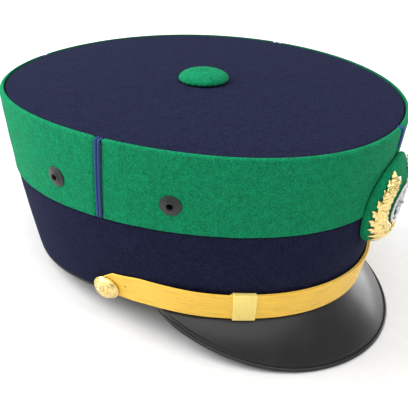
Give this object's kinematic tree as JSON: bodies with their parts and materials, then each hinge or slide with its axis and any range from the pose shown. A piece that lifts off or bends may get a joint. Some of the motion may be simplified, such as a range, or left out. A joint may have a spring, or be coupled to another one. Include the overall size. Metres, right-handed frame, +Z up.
{
  "type": "military peaked cap",
  "caption": "Stiff kepi-style peaked cap: flared two-colour wool crown with a flat oval top, short curved visor, gold chin strap with sliding keepers, badge pad, vents and buttons.",
  "frame": {"origin": "middle of the underside of the whole cap as it rests, on the surface it rests on", "axes": "+Z up, -Y the way the visor points, +X to the wearer's left; the cap leans back, standing on the edge of its visor and the rear of its rim"},
  "size_m": [0.2138, 0.2718, 0.1327],
  "materials": {
    "navy_wool": "matt felted wool cloth with a fine nap",
    "green_wool": "matt felted wool cloth with a fine nap",
    "blue_piping": "twisted double cord",
    "board": "stiff fibre board",
    "lining": "satin lining",
    "leather": "grained leather",
    "visor_lacquer": "semi-gloss black",
    "gold_lace": "ribbed braid",
    "keeper_lace": "ribbed braid",
    "gilt": "polished gilt",
    "silver": "polished white metal",
    "black_metal": "blackened satin",
    "steel": "plain satin"
  },
  "bodies": {
    "cap": {"badge_nut_left": "steel", "badge_nut_right": "steel", "badge_pad": "green_wool", "badge_post_left": "steel", "badge_post_right": "steel", "badge_rosette": "silver", "badge_wreath": "gilt", "chin_strap_inner": "gold_lace", "chin_strap_outer": "gold_lace", "crown_lining_side": "lining", "crown_lining_tip": "lining", "crown_top_board": "board", "crown_top_cloth": "navy_wool", "lower_band": "navy_wool", "piping_front": "blue_piping", "piping_left": "blue_piping", "piping_rear": "blue_piping", "piping_right": "blue_piping", "rim_binding": "leather", "side_wall_stiffener": "board", "sweatband": "leather", "sweatband_reed": "leather", "top_button_cover": "green_wool", "top_button_mould": "steel", "top_button_shank": "steel", "top_button_washer": "steel", "top_edge_hoop": "steel", "upper_band_front_left": "green_wool", "upper_band_front_right": "green_wool", "upper_band_rear_left": "green_wool", "upper_band_rear_right": "green_wool", "vent_eyelet_front_left": "black_metal", "vent_eyelet_front_right": "black_metal", "vent_eyelet_rear_left": "black_metal", "vent_eyelet_rear_right": "black_metal", "vent_washer_front_left": "steel", "vent_washer_front_right": "steel", "vent_washer_rear_left": "steel", "vent_washer_rear_right": "steel", "visor_edge_bead": "visor_lacquer", "visor_lining": "leather", "visor_top_shell": "visor_lacquer"},
    "strap_keeper_left": {"strap_keeper_left": "keeper_lace"},
    "side_button_left": {"side_button_left_shell": "gilt", "side_button_left_shank": "gilt", "side_button_left_ring": "steel"},
    "strap_keeper_right": {"strap_keeper_right": "keeper_lace"},
    "side_button_right": {"side_button_right_shell": "gilt", "side_button_right_shank": "gilt", "side_button_right_ring": "steel"}
  },
  "joints": [
    {"name": "keeper_right_slide", "type": "hinge", "parent": "cap", "child": "strap_keeper_right", "pos_m": [0.03198, 0.0073, 0.03334], "axis": [-0.0395, 0.0444, 0.9982], "range_deg": [-3.5, 3.5]},
    {"name": "button_right_spin", "type": "hinge", "parent": "cap", "child": "side_button_right", "pos_m": [-0.09423, 0.00274, 0.02456], "axis": [-0.9792, -0.0893, -0.1823], "continuous": true},
    {"name": "keeper_left_slide", "type": "hinge", "parent": "cap", "child": "strap_keeper_left", "pos_m": [-0.03198, 0.0073, 0.03334], "axis": [0.0395, 0.0444, 0.9982], "range_deg": [-3.5, 3.5]},
    {"name": "button_left_spin", "type": "hinge", "parent": "cap", "child": "side_button_left", "pos_m": [0.09423, 0.00274, 0.02456], "axis": [0.9792, -0.0893, -0.1823], "continuous": true}
  ]
}
